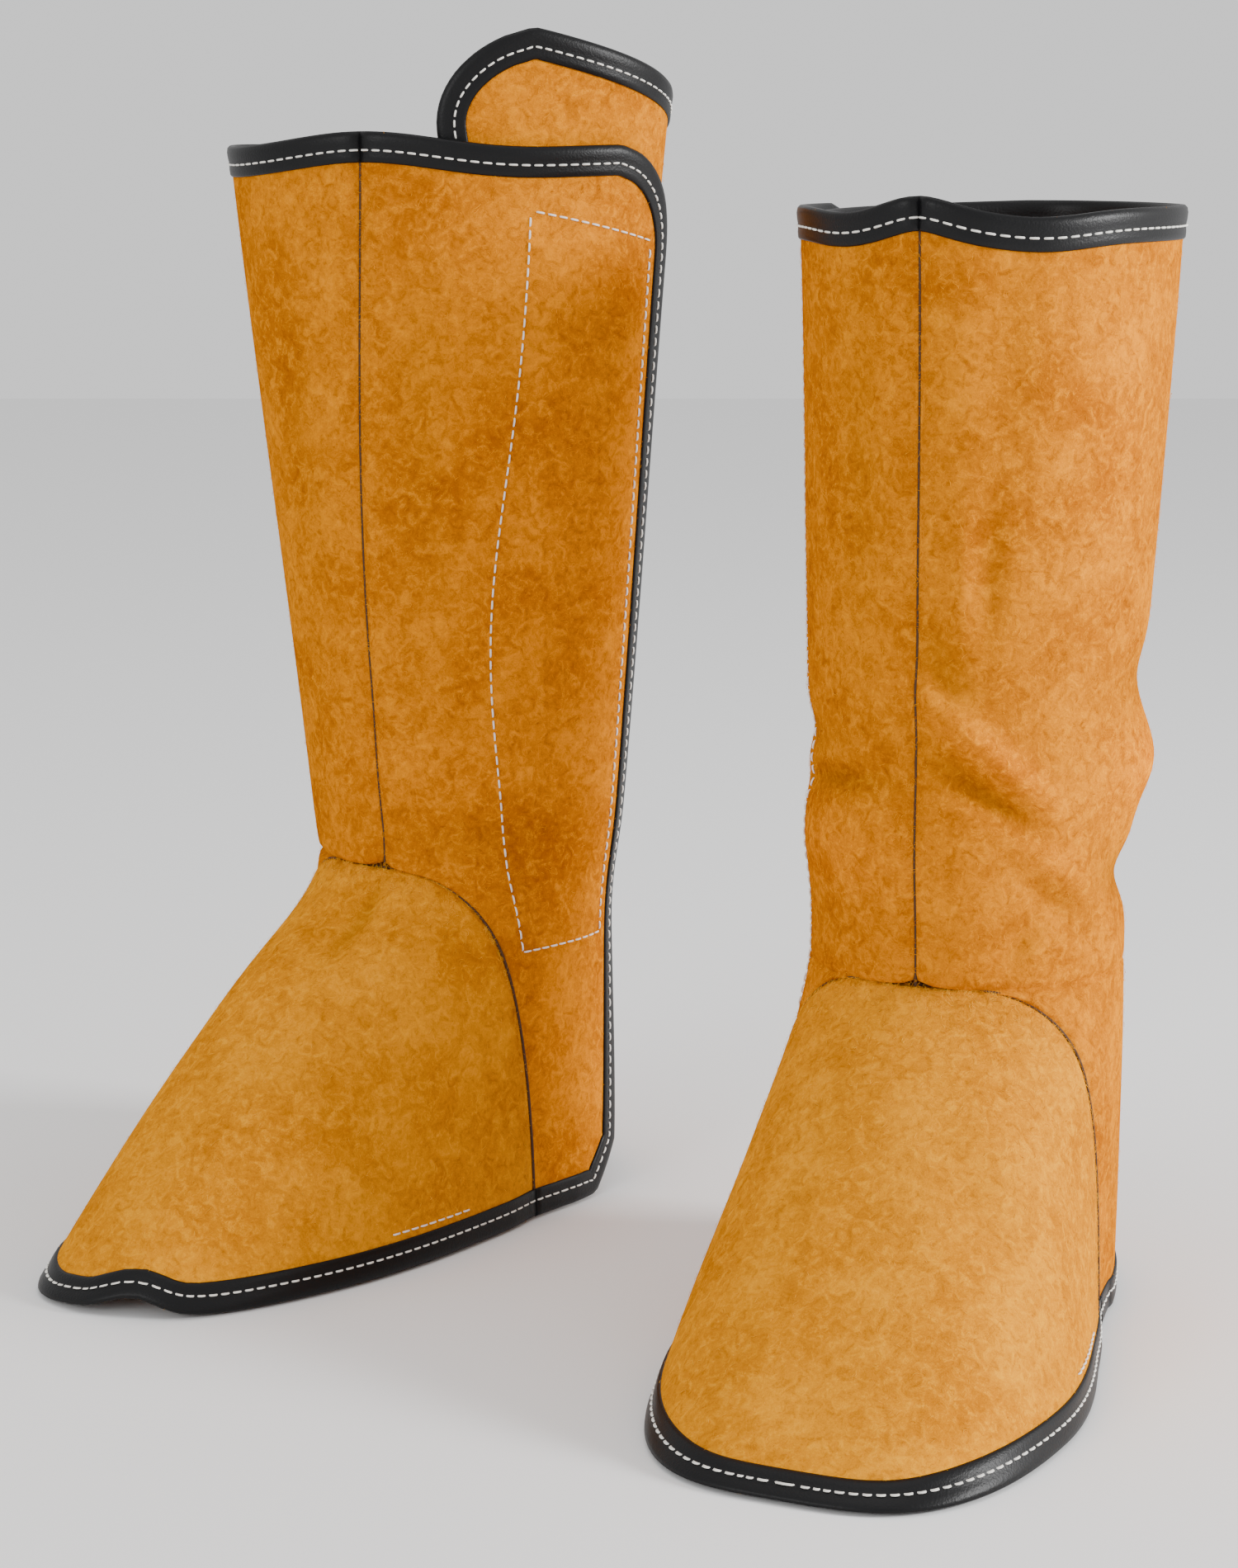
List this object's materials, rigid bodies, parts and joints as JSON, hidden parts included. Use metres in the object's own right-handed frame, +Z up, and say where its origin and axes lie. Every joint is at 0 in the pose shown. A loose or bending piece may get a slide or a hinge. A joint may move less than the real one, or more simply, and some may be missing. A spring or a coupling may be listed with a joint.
{
  "type": "welding spats",
  "caption": "Pair of suede welding spats: rear-flap leg wraps with instep covers, black bound edges, hook-and-loop closures and an elastic strap under each arch.",
  "frame": {"origin": "centre of the bounding box at the bottom, on the ground plane under both hems", "axes": "+Z up the shins, -Y towards the side that the toes point to, +X to the right when looking along +Y at the toes"},
  "size_m": [0.3804, 0.3696, 0.4199],
  "materials": {
    "quarter_suede": "napped split cowhide, golden brown",
    "instep_suede": "napped split cowhide, paler tan",
    "binding": "black folded binding tape, slight sheen",
    "thread": "off-white polished sewing thread",
    "hook_tape": "black nylon hooks",
    "loop_tape": "grey brushed loops",
    "elastic": "black woven elastic"
  },
  "bodies": {
    "left_leg": {"left_outer_quarter": "quarter_suede", "left_inner_quarter": "quarter_suede", "left_instep_cover": "instep_suede", "left_top_binding": "binding", "left_hem_binding": "binding", "left_sole_strap": "elastic"},
    "left_flap_panel": {"left_flap": "quarter_suede", "left_flap_binding": "binding", "left_hook_tape": "hook_tape"},
    "left_underlap_panel": {"left_underlap": "quarter_suede", "left_underlap_binding": "binding", "left_loop_tape": "loop_tape"},
    "right_leg": {"right_outer_quarter": "quarter_suede", "right_inner_quarter": "quarter_suede", "right_instep_cover": "instep_suede", "right_top_binding": "binding", "right_hem_binding": "binding", "right_sole_strap": "elastic"},
    "right_flap_panel": {"right_flap": "quarter_suede", "right_flap_binding": "binding", "right_hook_tape": "hook_tape"},
    "right_underlap_panel": {"right_underlap": "quarter_suede", "right_underlap_binding": "binding", "right_loop_tape": "loop_tape"}
  },
  "joints": [
    {"name": "left_flap_opening", "type": "hinge", "parent": "left_leg", "child": "left_flap_panel", "pos_m": [-0.0058, 0.07322, 0.192], "axis": [0, 0, -1], "range_deg": [0, 100]},
    {"name": "left_underlap_tuck", "type": "hinge", "parent": "left_leg", "child": "left_underlap_panel", "pos_m": [-0.02153, 0.16409, 0.192], "axis": [0, 0, -1], "range_deg": [0, 18]},
    {"name": "right_flap_opening", "type": "hinge", "parent": "right_leg", "child": "right_flap_panel", "pos_m": [0.063, 0.01557, 0.1825], "axis": [0, 0, 1], "range_deg": [0, 70]},
    {"name": "right_underlap_tuck", "type": "hinge", "parent": "right_leg", "child": "right_underlap_panel", "pos_m": [0.15241, 0.03816, 0.1825], "axis": [0, 0, 1], "range_deg": [0, 18]},
    {"name": "right_spat_lift", "type": "slide", "parent": "left_leg", "child": "right_leg", "axis": [0, 0, 1], "range_m": [0, 0.45]}
  ]
}
